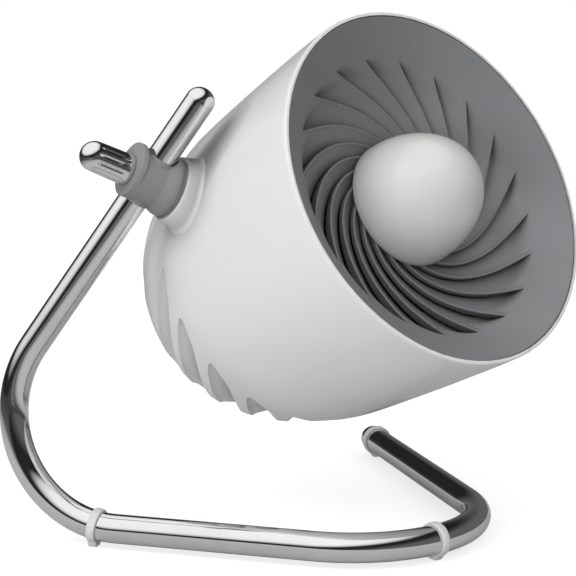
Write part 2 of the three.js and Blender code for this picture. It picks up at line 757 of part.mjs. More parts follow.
function makeMotorCan() {
  const can = turned([
    [BEARING_R + GAP, CAN_FRONT],
    [BEARING_R + GAP, CAN_FRONT - 5],
    [BEARING_R + 2, CAN_FRONT - 5],
    [BEARING_R + 2, CAN_FRONT - 4],
    [CAN_R - CAN_WALL, CAN_FRONT - 4],
    [CAN_R - CAN_WALL, CAN_REAR],
    [CAN_R, CAN_REAR],
    [CAN_R, CAN_FRONT - 1],
    [CAN_R - 1, CAN_FRONT],
    [BEARING_R + GAP, CAN_FRONT],
  ], 24);
  const hole = disc(MOTOR_SCREW_R + GAP, CAN_FRONT - 6, CAN_FRONT + 1, 10).translate(MOTOR_SCREW_AT, 0, 0);
  const holes = Array.from({ length: BRACKET_COUNT }, (_, i) => hole.clone().rotateZ(bracketAngle(i)));
  return piece('motor_can', 'steel', cut(can, ...holes));
}

function makeEndBell() {
  const low = CAN_REAR - GAP - 2;
  const bell = join(
    ring(CAN_R, BEARING_R + GAP, low, CAN_REAR - GAP, 24),
    ring(BEARING_R + 2, BEARING_R + GAP, low, CAN_REAR + 3),
  );
  const leadHole = disc(2.2, low - 1, CAN_REAR + 1, 12).translate(0, -16, 0);
  return piece('motor_end_bell', 'steel', cut(bell, leadHole));
}

function makeStatorCore() {
  const core = ring(CORE_R, ROTOR_R + AIR_GAP, CORE_REAR, CORE_FRONT, 24);
  return piece('stator_core', 'steel', core);
}

function makeCoil(name, low) {
  return piece(name, 'copper', ring(CORE_R - 3, ROTOR_R + 2, low, low + COIL_HEIGHT));
}

function makeBearing(name, low) {
  return piece(name, 'bronze', ring(BEARING_R, SHAFT_R + 0.15, low, low + BEARING_LENGTH, 20));
}

function makeRotorCore() {
  return piece('rotor_core', 'steel', ring(ROTOR_R, SHAFT_R + GAP, CORE_REAR, CORE_FRONT));
}

function makeShaft() {
  return piece('motor_shaft', 'steel', disc(SHAFT_R, SHAFT_REAR, SHAFT_FRONT, 16));
}

function makeBlade(index) {
  return bent(2, 4, 1, (u, v, w) => {
    const radius = mix(PROP_HUB_R - 1.5, PROP_R, v);
    const chord = mix(0.72, 0.95, v) * (1 - 0.35 * v * v);
    const pitch = mix(46, 24, v) * DEG;
    const middle = (index * 2 * Math.PI) / BLADE_COUNT + 0.25 * v;
    const around = (u - 0.5) * chord * mix(22, 34, v);
    const camber = 2.2 * (1 - (2 * u - 1) ** 2);
    const lift = around * Math.sin(pitch) * 0.62 + camber + (w - 0.5) * BLADE_THICKNESS;
    const angle = middle + (around * Math.cos(pitch)) / radius;
    return polar(radius, angle, (PROP_FRONT + PROP_REAR) / 2 + lift - 1);
  });
}

function makePropeller() {
  const hub = turned([
    [SHAFT_R + 0.1, PROP_REAR + 4],
    [5, PROP_REAR + 4],
    [5, PROP_FRONT - 2.2],
    [PROP_HUB_R - 1.8, PROP_FRONT - 2.2],
    [PROP_HUB_R - 1.8, PROP_REAR],
    [PROP_HUB_R, PROP_REAR],
    [PROP_HUB_R, PROP_FRONT - 2],
    [PROP_HUB_R - 2, PROP_FRONT],
    [SHAFT_R + 0.1, PROP_FRONT],
    [SHAFT_R + 0.1, PROP_REAR + 4],
  ], 24);
  const blades = Array.from({ length: BLADE_COUNT }, (_, i) => makeBlade(i));
  return piece('propeller', 'grey', cut(join(hub, ...blades), disc(SHAFT_R + GAP, -60, -20, 16)));
}

function makePropClip() {
  return piece('prop_clip', 'steel', ring(4.2, SHAFT_R + GAP, PROP_FRONT + GAP, PROP_FRONT + GAP + 1, 16));
}

// ---- speed control, inlet and leads ----
function makeSwitchBody() {
  const back = -HEAD_DEPTH + WALL + GAP;
  const body = box(SWITCH_SIZE, 14, HEAD_DEPTH - WALL - SWITCH_DEPTH, 0, 0, (back - SWITCH_DEPTH + GAP) / 2);
  return piece('switch_body', 'black', cut(body, disc(2.5 + GAP, back - 1, back + 8, 16)));
}

function makeSwitchKnob() {
  const face = -HEAD_DEPTH - 0.4;
  const back = face - SWITCH_KNOB_HEIGHT;
  const dial = turned([
    [0, back],
    [SWITCH_KNOB_R - 1.4, back],
    [SWITCH_KNOB_R - 0.6, back + 0.8],
    [SWITCH_KNOB_R, face],
    [0, face],
  ], 24);
  const stem = disc(2.5, face - 1, -HEAD_DEPTH + WALL + 6, 16);
  const pointer = box(2.2, 2 * SWITCH_KNOB_R - 3, 2.2, 0, 0, back - 0.6);
  return piece('speed_knob', 'grey', join(dial, stem, pointer));
}

function makeGland() {
  const outer = -HEAD_DEPTH - GAP;
  const bore = 1.9;
  const neck = GLAND_R - 1;
  const gland = turned([
    [bore, outer - 3],
    [GLAND_R - 0.7, outer - 3],
    [GLAND_R, outer - 2.2],
    [GLAND_R, outer],
    [neck, outer],
    [neck, outer + WALL + 2 * GAP],
    [GLAND_R, outer + WALL + 2 * GAP],
    [GLAND_R, outer + WALL + 2 * GAP + 1.4],
    [bore, outer + WALL + 2 * GAP + 1.4],
    [bore, outer - 3],
  ], 18);
  return piece('cord_gland', 'black', gland.translate(0, -GLAND_AT, 0));
}

function makeLead(name, points) {
  const curve = new THREE.CatmullRomCurve3(points.map((point) => new THREE.Vector3(...point)));
  return piece(name, 'black', rod(circle(1.2), [[curve, 12]], 8));
}

function makeHead() {
  const group = new THREE.Group();
  const counts = Array.from({ length: BRACKET_COUNT }, (_, i) => i);
  const inletTop = -HEAD_DEPTH + 3.4;
  group.add(
    makeHousing(),
    makeGrille(),
    makeNoseCone(),
    makeBracket(),
    ...counts.map(makeBracketScrew),
    ...counts.map(makeMotorScrew),
    makeMotorCan(),
    makeEndBell(),
    makeStatorCore(),
    makeCoil('coil_front', CORE_FRONT + GAP),
    makeCoil('coil_rear', CORE_REAR - GAP - COIL_HEIGHT),
    makeBearing('bearing_front', CAN_FRONT - 4.8),
    makeBearing('bearing_rear', CAN_REAR - 2),
    makeRotorCore(),
    makeShaft(),
    makePropeller(),
    makePropClip(),
    makeSwitchBody(),
    makeSwitchKnob(),
    makeGland(),
    makeLead('supply_lead', [
      [0, -GLAND_AT, inletTop], [0, -GLAND_AT - 0.5, inletTop + 8],
      [0, -13, inletTop + 12], [0, -7.6, inletTop + 12],
    ]),
    makeLead('motor_lead', [
      [5, 4, -SWITCH_DEPTH + 1.6], [5, 3.5, -SWITCH_DEPTH + 5], [4, -4, -SWITCH_DEPTH + 7.5],
      [1, -14, CAN_REAR - 6], [0, -16, CAN_REAR - 2], [0, -16, CAN_REAR + 2],
    ]),
  );
  const forward = new THREE.Vector3(Math.sin(PIVOT_AZIMUTH), -Math.cos(PIVOT_AZIMUTH), 0);
  forward.applyAxisAngle(pivotAxis, -HEAD_TILT);
  const upward = forward.clone().cross(pivotAxis);
  group.position.copy(clampCentre)
    .addScaledVector(pivotAxis, POST_TO_HEAD_AXIS)
    .addScaledVector(forward, PIVOT_DEPTH);
  group.quaternion.setFromRotationMatrix(new THREE.Matrix4().makeBasis(pivotAxis, upward, forward));
  return group;
}

const fan = new THREE.Group();
fan.add(makeStand(), makeClamp(), makeHead());
fan.updateMatrixWorld(true);
const bounds = new THREE.Box3().setFromObject(fan, true);
fan.position.set(-(bounds.min.x + bounds.max.x) / 2, -(bounds.min.y + bounds.max.y) / 2, -bounds.min.z);

export default fan;
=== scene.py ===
"""Looks for a compact desk air circulator on a bent chrome tube stand.

Lengths are millimetres until they are placed.
"""
import json
import math

import bmesh
import bpy
import numpy as np
from mathutils import Matrix, Vector


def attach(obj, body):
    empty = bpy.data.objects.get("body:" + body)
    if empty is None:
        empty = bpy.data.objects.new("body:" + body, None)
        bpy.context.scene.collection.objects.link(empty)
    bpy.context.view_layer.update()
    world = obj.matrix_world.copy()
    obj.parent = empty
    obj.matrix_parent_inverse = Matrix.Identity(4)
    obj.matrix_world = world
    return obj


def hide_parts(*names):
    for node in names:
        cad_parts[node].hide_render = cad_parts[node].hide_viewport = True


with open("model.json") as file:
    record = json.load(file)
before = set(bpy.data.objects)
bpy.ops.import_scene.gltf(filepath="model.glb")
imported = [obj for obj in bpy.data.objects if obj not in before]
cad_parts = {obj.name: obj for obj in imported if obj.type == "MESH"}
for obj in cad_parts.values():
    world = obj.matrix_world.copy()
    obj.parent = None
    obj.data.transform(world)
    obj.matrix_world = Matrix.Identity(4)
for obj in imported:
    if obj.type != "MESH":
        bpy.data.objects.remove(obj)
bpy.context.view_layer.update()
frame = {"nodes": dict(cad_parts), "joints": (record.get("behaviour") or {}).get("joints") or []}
joints = {j["name"]: j for j in frame["joints"]}
MM = 0.001
TAU = 2 * math.pi
rad = math.radians


# ---- places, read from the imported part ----
def axis_of(name):
    return Vector(joints[name]["axis"]).normalized()


def frame_at(origin, x, y, z):
    m = Matrix((x, y, z)).transposed().to_4x4()
    m.translation = origin
    return m @ Matrix.Scale(MM, 4)


POST, PIVOT, FORWARD = axis_of("block_swivel"), axis_of("head_pivot"), axis_of("rotor_spin")
CLAMP_AT = Vector(joints["block_swivel"]["pos_m"])
MOUTH_AT = Vector(joints["rotor_spin"]["pos_m"])
clamp_y = (POST - PIVOT * POST.dot(PIVOT)).normalized()
CLAMP = frame_at(CLAMP_AT, clamp_y.cross(PIVOT), clamp_y, PIVOT)
HEAD = frame_at(MOUTH_AT, PIVOT, FORWARD.cross(PIVOT), FORWARD)

# stand
TUBE_R, TUBE_WALL, TUBE_HEIGHT = 4.89, 0.9, 6.5
RUN_LENGTH, BASE_BEND_R, BASE_TURN, LEG_LENGTH = 68.4, 43.8, rad(123.2), 105.7
FOOT_BEND_ANGLE, FOOT_BASE_ANGLE, FOOT_LEG_AT = rad(10.6), rad(55), 96.5
POST_BEND_R, POST_LENGTH, CLAMP_BELOW_TOP, CAP_DOME = 38.0, 104.7, 35.5, 4.5
# clamp
POST_TO_HEAD, PIVOT_DEPTH = 72.9, 61.7
BLOCK_R, FLANGE_R, CONE_START, CONE_END = 8.6, 10.3, 2.9, 6.1
BORE_R, SCREW_R, SCREW_BOSS_R, AXLE_R, AXLE_SEAT = 5.35, 2.2, 3.9, 3.2, 6.5
BUSH_IN, BUSH_OUT, BUSH_HALF = 5.06, 5.3, 8.4
KNOB_R, KNOB_FLARE, FLUTES, FLUTE_DEPTH, FLUTED_ROWS = 5.0, 0.25, 12, 0.42, 25
BLOCK_FACE, FLANGE_FACE, SCREW_BOSS_END = -7.4, 8.0, -9.2
KNOB_FACE, KNOB_SEAT, KNOB_BACK = -7.55, -9.6, -25.1
BOSS_FACE = FLANGE_FACE + 1.1


# ---- mesh helpers ----
def make(name, verts, faces, matrix, body, nodes, slot, material, sharp=32):
    mesh = bpy.data.meshes.new(name)
    mesh.from_pydata([tuple(v) for v in verts], [], [tuple(int(i) for i in f) for f in faces])
    mesh.transform(matrix)
    bm = bmesh.new()
    bm.from_mesh(mesh)
    bmesh.ops.remove_doubles(bm, verts=bm.verts, dist=1e-6)
    bmesh.ops.dissolve_degenerate(bm, dist=1e-7, edges=bm.edges)
    bmesh.ops.recalc_face_normals(bm, faces=bm.faces)
    bm.to_mesh(mesh)
    bm.free()
    obj = bpy.data.objects.new(name, mesh)
    bpy.context.scene.collection.objects.link(obj)
    dress(obj, body, nodes, material, sharp)
    return obj


def dress(obj, body, nodes, material, sharp=32):
    obj.data.shade_smooth()
    obj.data.set_sharp_from_angle(angle=rad(sharp))
    obj.data.materials.clear()
    obj.data.materials.append(material)
    if body:
        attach(obj, body)
    if nodes:
        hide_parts(*nodes)


def sheet(rows, cols, around=True, ends=False, start=0):
    """Quads over a grid of rows x cols vertices."""
    faces = []
    last = cols if around else cols - 1
    for i in range(rows - 1):
        here, after = start + i * cols, start + (i + 1) * cols
        for j in range(last):
            k = (j + 1) % cols
            faces.append((here + j, here + k, after + k, after + j))
    if ends:
        faces.append(tuple(start + j for j in range(cols))[::-1])
        faces.append(tuple(start + (rows - 1) * cols + j for j in range(cols)))
    return faces


def soften(profile, reach=0.5, steps=4):
    """Rounds the inner corners of a profile of (r, z) points."""
    out = [profile[0]]
    for a, b, c in zip(profile, profile[1:], profile[2:]):
        a, b, c = (np.array(p, float) for p in (a, b, c))
        da, dc = np.linalg.norm(a - b), np.linalg.norm(c - b)
        if min(da, dc) < 1e-6:
            out.append(tuple(b))
            continue
        t = min(reach, da * 0.45, dc * 0.45)
        p, q = b + (a - b) / da * t, b + (c - b) / dc * t
        for s in np.linspace(0, 1, steps):
            out.append(tuple((1 - s) ** 2 * p + 2 * s * (1 - s) * b + s * s * q))
    out.append(profile[-1])
    return out


def lathe(profile, sides=72, shift=(0, 0)):
    """Turns a profile of (r, z) points round z, and closes its ends where they are off the axis."""
    angles = np.arange(sides) * TAU / sides
    verts = []
    for r, z in profile:
        verts += [(r * math.cos(a) + shift[0], r * math.sin(a) + shift[1], z) for a in angles]
    closed = tuple(profile[0]) == tuple(profile[-1])
    off_axis = profile[0][0] > 1e-6 or profile[-1][0] > 1e-6
    return verts, sheet(len(profile), sides, ends=not closed and off_axis)


def raw(name, verts, faces, matrix):
    """A loose solid for a boolean."""
    return make(name, verts, faces, matrix, None, None, None, BLANK_LOOK)


def boolean(target, tools, operation="DIFFERENCE"):
    for tool in tools:
        m = target.modifiers.new("cut", "BOOLEAN")
        m.object, m.operation, m.solver = tool, operation, "EXACT"
    settle(target)
    for tool in tools:
        bpy.data.objects.remove(tool)


def settle(obj):
    """Applies an object's modifiers."""
    bpy.context.view_layer.update()
    made = bpy.data.meshes.new_from_object(obj.evaluated_get(bpy.context.evaluated_depsgraph_get()))
    obj.modifiers.clear()
    obj.data = made


def soft_edges(obj, width, angle=35, segments=2):
    m = obj.modifiers.new("edge", "BEVEL")
    m.width, m.segments, m.limit_method, m.angle_limit = width * MM, segments, "ANGLE", rad(angle)
    m.harden_normals = False
    settle(obj)


def step_between(x, low, high):
    t = np.clip((x - low) / (high - low), 0, 1)
    return t * t * (3 - 2 * t)


# ---- materials ----
NOISE_LOW, NOISE_HIGH = 0.3, 0.7
# samples of the ambient occlusion that paints shade into crevices
PAINTED_SHADE_SAMPLES = 8
# sockets of a Mix node that mixes colours
MIX_FIRST, MIX_SECOND, MIX_RESULT = 6, 7, 2


class Look:
    """A Principled material with its procedural nodes."""

    def __init__(self, name, **sockets):
        self.mat = bpy.data.materials.new(name)
        self.mat.use_nodes = True
        self.tree = self.mat.node_tree
        self.shader = self.tree.nodes["Principled BSDF"]
        self.coords = self.node("ShaderNodeTexCoord")
        for key, value in sockets.items():
            self.shader.inputs[key.replace("_", " ")].default_value = value

    def node(self, kind, **settings):
        n = self.tree.nodes.new(kind)
        for key, value in settings.items():
            if hasattr(n, key) and key not in n.inputs:
                setattr(n, key, value)
            else:
                n.inputs[key].default_value = value
        return n

    def link(self, a, b):
        self.tree.links.new(a, b)

    def noise(self, scale, detail=3.0, rough=0.55, stretch=None):
        n = self.node("ShaderNodeTexNoise")
        n.inputs["Scale"].default_value = scale
        n.inputs["Detail"].default_value = detail
        n.inputs["Roughness"].default_value = rough
        source = self.coords.outputs["Object"]
        if stretch:
            m = self.node("ShaderNodeMapping")
            m.inputs["Scale"].default_value = stretch
            self.link(source, m.inputs["Vector"])
            source = m.outputs["Vector"]
        self.link(source, n.inputs["Vector"])
        return n.outputs["Fac"]

    def ramp(self, factor, stops):
        r = self.node("ShaderNodeValToRGB")
        elements = r.color_ramp.elements
        while len(elements) < len(stops):
            elements.new(0.5)
        for element, (position, colour) in zip(elements, stops):
            element.position = position
            element.color = (*colour, 1) if isinstance(colour, tuple) else (colour, colour, colour, 1)
        self.link(factor, r.inputs["Fac"])
        return r.outputs["Color"]

    def vary(self, socket, factor, low, high):
        m = self.node("ShaderNodeMapRange")
        m.inputs["To Min"].default_value, m.inputs["To Max"].default_value = low, high
        m.inputs["From Min"].default_value, m.inputs["From Max"].default_value = NOISE_LOW, NOISE_HIGH
        self.link(factor, m.inputs["Value"])
        self.link(m.outputs["Result"], self.shader.inputs[socket])

    def bump(self, heights, strength, distance):
        last = None
        for height, share in heights:
            b = self.node("ShaderNodeBump")
            b.inputs["Strength"].default_value = strength * share
            b.inputs["Distance"].default_value = distance
            self.link(height, b.inputs["Height"])
            if last:
                self.link(last.outputs["Normal"], b.inputs["Normal"])
            last = b
        self.link(last.outputs["Normal"], self.shader.inputs["Normal"])

    def tint(self, factor, dark, light, painted_crevice_shade=None):
        """Base colour from a noise, with painted shade multiplied in where an ambient occlusion node finds
        crevices and recesses, so it is darker there.

        The last argument gives that painted shade as (reach in metres, stops), and each stop is (openness,
        shade).
        """
        colour = self.ramp(factor, [(NOISE_LOW, dark), (NOISE_HIGH, light)])
        if painted_crevice_shade:
            reach, stops = painted_crevice_shade
            # painted shade: ambient occlusion darkens the base colour in crevices and recesses
            near = self.node("ShaderNodeAmbientOcclusion")
            near.samples = PAINTED_SHADE_SAMPLES
            near.inputs["Distance"].default_value = reach
            shade = self.ramp(near.outputs["AO"], stops)
            mixed = self.node("ShaderNodeMix", data_type="RGBA", blend_type="MULTIPLY")
            mixed.inputs["Factor"].default_value = 1.0
            self.link(colour, mixed.inputs[MIX_FIRST])
            self.link(shade, mixed.inputs[MIX_SECOND])
            colour = mixed.outputs[MIX_RESULT]
        self.link(colour, self.shader.inputs["Base Color"])


BLANK_LOOK = bpy.data.materials.new("blank")


def chrome_look():
    look = Look("bright_chrome", Metallic=1.0, IOR=1.45)
    look.tint(look.noise(35, 4), (0.78, 0.785, 0.8), (0.86, 0.862, 0.868))
    look.vary("Roughness", look.noise(180, 5), 0.045, 0.09)
    look.bump([(look.noise(420, 2), 0.5), (look.noise(30, 2), 0.5)], 0.012, 0.0002)
    return look.mat


def steel_look(name="satin_steel", dark=(0.42, 0.43, 0.44), light=(0.56, 0.565, 0.57)):
    look = Look(name, Metallic=1.0)
    look.tint(look.noise(60, 5), dark, light)
    look.vary("Roughness", look.noise(900, 3, stretch=(1, 1, 14)), 0.26, 0.42)
    look.bump([(look.noise(1500, 2, stretch=(1, 1, 18)), 1)], 0.12, 0.0001)
    return look.mat


def plastic_look(name, dark, light, roughness, grain=700, bump=0.05, coat=0.0, coat_roughness=0.1,
                 specular=0.5, painted_crevice_shade=None):
    look = Look(name)
    look.shader.inputs["Coat Weight"].default_value = coat
    look.shader.inputs["Coat Roughness"].default_value = coat_roughness
    look.shader.inputs["Specular IOR Level"].default_value = specular
    look.tint(look.noise(14, 4), dark, light, painted_crevice_shade)
    look.vary("Roughness", look.noise(60, 2), *roughness)
    look.bump([(look.noise(grain, 3), 0.7), (look.noise(grain * 0.4, 2), 0.3)], bump, 0.00015)
    return look.mat


chrome = chrome_look()
steel = steel_look()
copper = steel_look("enamelled_copper", (0.45, 0.2, 0.08), (0.62, 0.3, 0.13))
bronze = steel_look("sintered_bronze", (0.36, 0.27, 0.12), (0.5, 0.38, 0.19))
# painted shade: ambient occlusion darkens the white base colour in the louvre slots and where the boss meets
# the shell
shell_white = plastic_look(
    "gloss_white_shell", (0.765, 0.76, 0.755), (0.785, 0.78, 0.775), (0.2, 0.24), grain=3200, bump=0.012,
    coat=0.15, coat_roughness=0.12, specular=0.4,
    painted_crevice_shade=(0.014, [(0.25, 0.2), (0.6, 0.36), (0.8, 0.6), (0.95, 0.97), (1.0, 1.0)]))
block_grey = plastic_look(
    "matte_grey_block", (0.225, 0.218, 0.23), (0.26, 0.253, 0.265), (0.55, 0.7), grain=2200, bump=0.16)
# painted shade and light: ambient occlusion darkens the grey base colour deep between the vanes and lightens
# the open faces by a few percent
grille_grey = plastic_look(
    "satin_grille_grey", (0.19, 0.198, 0.206), (0.215, 0.223, 0.232), (0.34, 0.44), grain=1600, bump=0.06,
    painted_crevice_shade=(0.01, [(0.15, 0.5), (0.5, 0.85), (0.85, 1.0), (1.0, 1.06)]))
nose_pale = plastic_look(
    "gloss_pale_nose", (0.64, 0.635, 0.625), (0.67, 0.665, 0.655), (0.2, 0.24), grain=3200, bump=0.012,
    coat=0.3)
foot_rubber = plastic_look(
    "pale_rubber", (0.58, 0.58, 0.565), (0.66, 0.66, 0.645), (0.45, 0.6), grain=1800, bump=0.12)
dark_plastic = plastic_look(
    "dark_plastic", (0.018, 0.018, 0.02), (0.035, 0.035, 0.038), (0.4, 0.55), grain=1500, bump=0.12)
fan_grey = plastic_look(
    "fan_grey", (0.075, 0.078, 0.084), (0.1, 0.103, 0.11), (0.4, 0.5), grain=1200, bump=0.08)


# ---- stand ----
def along_bend(begin, ahead, inward, radius, angle):
    """The point reached after an angle of a bend that leaves begin going ahead and curves inward."""
    return begin + ahead * (radius * math.sin(angle)) + inward * (radius * (1 - math.cos(angle)))


def stand_path():
    """Points along the tube's centre line, from the post's top to the leg's tip.

    The base run starts at the origin.
    """
    x, y = Vector((1, 0, 0)), Vector((0, 1, 0))
    inward = (POST + x * POST.dot(x) * -1).normalized()
    turn = (-x).angle(POST)

    def bend(angle):
        return along_bend(Vector(), -x, inward, POST_BEND_R, angle)

    foot = bend(turn)
    top = foot + POST * POST_LENGTH
    run_end = x * RUN_LENGTH

    def base(angle):
        return along_bend(run_end, x, y, BASE_BEND_R, angle)

    leg = x * math.cos(BASE_TURN) + y * math.sin(BASE_TURN)
    tip = base(BASE_TURN) + leg * LEG_LENGTH
    n = 44
    points = [top - POST * (CAP_DOME + 0.05)] + [top.lerp(foot, s) for s in (0.1, 0.35, 0.6, 0.85)]
    points += [bend(turn * (1 - i / n)) for i in range(n + 1)]
    points += [x * (RUN_LENGTH * s) for s in (0.25, 0.5, 0.75)]
    points += [base(BASE_TURN * i / n) for i in range(n + 1)]
    points += [base(BASE_TURN).lerp(tip, s) for s in (0.25, 0.5, 0.75)] + [tip - leg * (CAP_DOME + 0.05)]
    start = CLAMP_AT / MM - (top - POST * CLAMP_BELOW_TOP)
    post_way = -x * math.cos(FOOT_BEND_ANGLE) + inward * math.sin(FOOT_BEND_ANGLE)
    base_way = x * math.cos(FOOT_BASE_ANGLE) + y * math.sin(FOOT_BASE_ANGLE)
    spots = {
        "ring_foot_post": (bend(FOOT_BEND_ANGLE), post_way),
        "ring_foot_bend": (base(FOOT_BASE_ANGLE), base_way),
        "ring_foot_leg": (base(BASE_TURN) + leg * FOOT_LEG_AT, leg),
    }
    return start, points, top, tip, leg, spots


def sweep(points, rings, sides):
    """Circles swept along points. rings holds (radius, way), and a way of -1 goes back from the last point."""
    pts = [Vector(p) for p in points]
    tangents = []
    for i, p in enumerate(pts):
        a, b = pts[max(i - 1, 0)], pts[min(i + 1, len(pts) - 1)]
        tangents.append((b - a).normalized())
    u = tangents[0].orthogonal().normalized()
    verts = []
    frames = []
    for p, t in zip(pts, tangents):
        u = (u - t * u.dot(t)).normalized()
        frames.append((p, u, t.cross(u)))
    for radius, order in rings:
        for p, a, b in (frames if order > 0 else frames[::-1]):
            for j in range(sides):
                turn = TAU * j / sides
                verts.append(p + a * (radius * math.cos(turn)) + b * (radius * math.sin(turn)))
    return verts


def build_stand():
    start, points, top, tip, leg, spots = stand_path()
    place = Matrix.Scale(MM, 4) @ Matrix.Translation(start)
    sides = 56
    verts = sweep(points, [(TUBE_R, 1), (TUBE_R - TUBE_WALL, -1)], sides)
    rows = 2 * len(points)
    faces = sheet(rows, sides)
    last = (rows - 1) * sides
    faces += [(last + j, last + (j + 1) % sides, (j + 1) % sides, j) for j in range(sides)]
    make("stand_tube_bright", verts, faces, place, "stand", ["stand_tube"], "chrome", chrome)
    for name, at, way in (("post_end_cap", top, POST), ("leg_end_cap", tip, leg)):
        dome = [(TUBE_R * math.cos(a), CAP_DOME * (math.sin(a) - 1)) for a in np.linspace(0, math.pi / 2, 14)]
        plug_end = -CAP_DOME - 8
        profile = [(0, plug_end), (3.4, plug_end), (3.7, plug_end + 0.5), (3.7, -CAP_DOME + 0.02)] + dome
        turn = way.to_track_quat("Z", "Y").to_matrix().to_4x4()
        make(name + "_bright", *lathe(profile, 56), place @ Matrix.Translation(at) @ turn,
             "stand", [name], "chrome", chrome)
    for name, (at, way) in spots.items():
        build_ring_foot(name, at, way, place)


def build_ring_foot(name, at, way, place):
    """A rubber ring with rounded shoulders that swells into a small flat pad at the bottom."""
    ground = -(at.z + TUBE_HEIGHT)
    side = Vector((0, 0, 1)).cross(way).normalized()
    up = way.cross(side)
    half, bore, sides = 1.5, TUBE_R + 0.05, 96
    section = [(bore, -half + 0.15), (5.25, -half), (5.5, -half + 0.04), (5.7, -half + 0.3), (5.8, -half + 0.8)]
    section += [(r, -z) for r, z in section[::-1]] + section[:1]
    verts = []
    for r, z in section:
        for j in range(sides):
            a = TAU * j / sides
            v = side * (r * math.sin(a)) + up * (r * math.cos(a)) + way * z
            if r > bore:
                pad = ground if r > 5.6 else ground + 0.15
                v.z += (pad - v.z) * float(step_between(-math.cos(a), 0.9, 0.965))
            verts.append(v)
    make(name + "_ring", verts, sheet(len(section), sides), place @ Matrix.Translation(at),
         "stand", [name], "pale_rubber", foot_rubber, 40)


# ---- clamp ----
def build_block():
    """Round block with a flange towards the head, a collar that clears the knob and a short screw boss."""
    profile = [(0, BLOCK_FACE), (BLOCK_R, BLOCK_FACE), (BLOCK_R, CONE_START), (FLANGE_R, CONE_END),
               (FLANGE_R, FLANGE_FACE), (0, FLANGE_FACE)]
    profile = soften(profile, 0.7, 5)
    block = raw("pivot_block_grey", *lathe(profile, 96), CLAMP)
    lobe = soften([(0, BLOCK_FACE), (8.9, BLOCK_FACE), (8.9, BLOCK_FACE + 2), (0, BLOCK_FACE + 2)], 0.3, 4)
    stub = [(0, SCREW_BOSS_END), (SCREW_BOSS_R, SCREW_BOSS_END), (SCREW_BOSS_R, -7), (0, -7)]
    collar = raw("collar", *lathe(lobe, 96, (0, 1.1)), CLAMP)
    boolean(block, [collar, raw("stub", *lathe(stub, 48), CLAMP)], "UNION")
    bore_turn = POST.to_track_quat("Z", "Y").to_matrix().to_4x4()
    bore_place = Matrix.Translation(CLAMP_AT) @ bore_turn @ Matrix.Scale(MM, 4)
    bore = raw("bore", *lathe([(0, -20), (BORE_R, -20), (BORE_R, 20), (0, 20)], 72), bore_place)
    screw = raw("screw_hole", *lathe([(0, -12), (SCREW_R, -12), (SCREW_R, 0), (0, 0)], 32), CLAMP)
    seat = [(0, AXLE_SEAT), (AXLE_R, AXLE_SEAT), (AXLE_R, 12), (0, 12)]
    axle = raw("axle_seat", *lathe(seat, 32), CLAMP)
    boolean(block, [bore, screw, axle])
    soft_edges(block, 0.25)
    dress(block, "clamp", ["pivot_block"], block_grey, 40)


def build_bush():
    turn = POST.to_track_quat("Z", "Y").to_matrix().to_4x4()
    place = Matrix.Translation(CLAMP_AT) @ turn @ Matrix.Scale(MM, 4)
    profile = [(BUSH_IN, -BUSH_HALF), (BUSH_OUT, -BUSH_HALF), (BUSH_OUT, BUSH_HALF), (BUSH_IN, BUSH_HALF),
               (BUSH_IN, -BUSH_HALF)]
    make("post_bush_sleeve", *lathe(profile, 64), place, "slider", ["post_bush"], "grey_plastic", block_grey)


def build_friction_washer():
    low, high = FLANGE_FACE + 0.06, BOSS_FACE - 0.06
    profile = [(3.3, low), (9.7, low), (9.85, low + 0.15), (9.85, high - 0.15), (9.7, high), (3.3, high),
               (3.3, low)]
    make("friction_washer_ring", *lathe(profile, 72), CLAMP,
         "clamp", ["friction_washer"], "grey_plastic", block_grey)


def build_knob():
    """Thumb knob: a domed end, shallow rounded flutes and a hollow rim round the block's threaded boss."""
    outline = [(KNOB_R * math.sin(a), KNOB_BACK + KNOB_R * (1 - math.cos(a)))
               for a in np.linspace(0, math.pi / 2, 12)]
    outline += [(KNOB_R + KNOB_FLARE * t, KNOB_BACK + KNOB_R + t * (KNOB_FACE - 1 - KNOB_BACK - KNOB_R))
                for t in np.linspace(0.06, 1, 12)]
    outline += [(5.25, KNOB_FACE - 0.5), (5.15, KNOB_FACE - 0.15), (4.95, KNOB_FACE), (4.3, KNOB_FACE),
                (4.3, KNOB_SEAT), (SCREW_R, KNOB_SEAT), (SCREW_R, KNOB_SEAT - 3), (0, KNOB_SEAT - 3)]
    sides = 144
    verts = []
    for i, (r, z) in enumerate(outline):
        fade_in = step_between(z, KNOB_BACK + 4.4, KNOB_BACK + 6)
        fade_out = step_between(z, KNOB_FACE - 4.2, KNOB_FACE - 2.6)
        deep = float(fade_in * (1 - fade_out)) * (i < FLUTED_ROWS)
        for j in range(sides):
            a = TAU * j / sides
            radius = r - FLUTE_DEPTH * deep * max(0.0, math.cos(FLUTES * a)) ** 1.5
            verts.append((radius * math.cos(a), radius * math.sin(a), z))
    make("knob_grip_bright", verts, sheet(len(outline), sides), CLAMP,
         "knob", ["knob_grip"], "chrome", chrome, 50)


# ---- housing ----
# the wall's outer radius by depth behind the mouth
WALL_LINE = [(0, 61.55), (10, 61.35), (30, 60.4), (45, 59.5), (60, 58.5), (70, 57.65), (75, 56.85), (80, 55.6),
             (85, 54.2), (90, 52.8), (95, 51.4), (100, 49.6), (105, 47.2), (110, 44.3), (114, 41.2),
             (118, 37.5), (121, 33.6), (123.6, 28.2), (125.2, 24.2), (126, 20.5)]
MOUTH_LIP = {0.0: 61.1, 0.25: 61.42}
MOUTH_INSIDE_R, MOUTH_INSIDE_DEPTH, REAR_INSIDE = 60.35, 9, 124.2
SLOT_OPEN_FROM, SLOT_OPEN_TO = 82.5, 115
LOUVRES, LOUVRE_FRONT, BLANK = 19, 80.5, 18
LOUVRE_PITCH, LOUVRE_SWEEP, LOUVRE_PHASE = 360 / LOUVRES, 1.1, -159.7
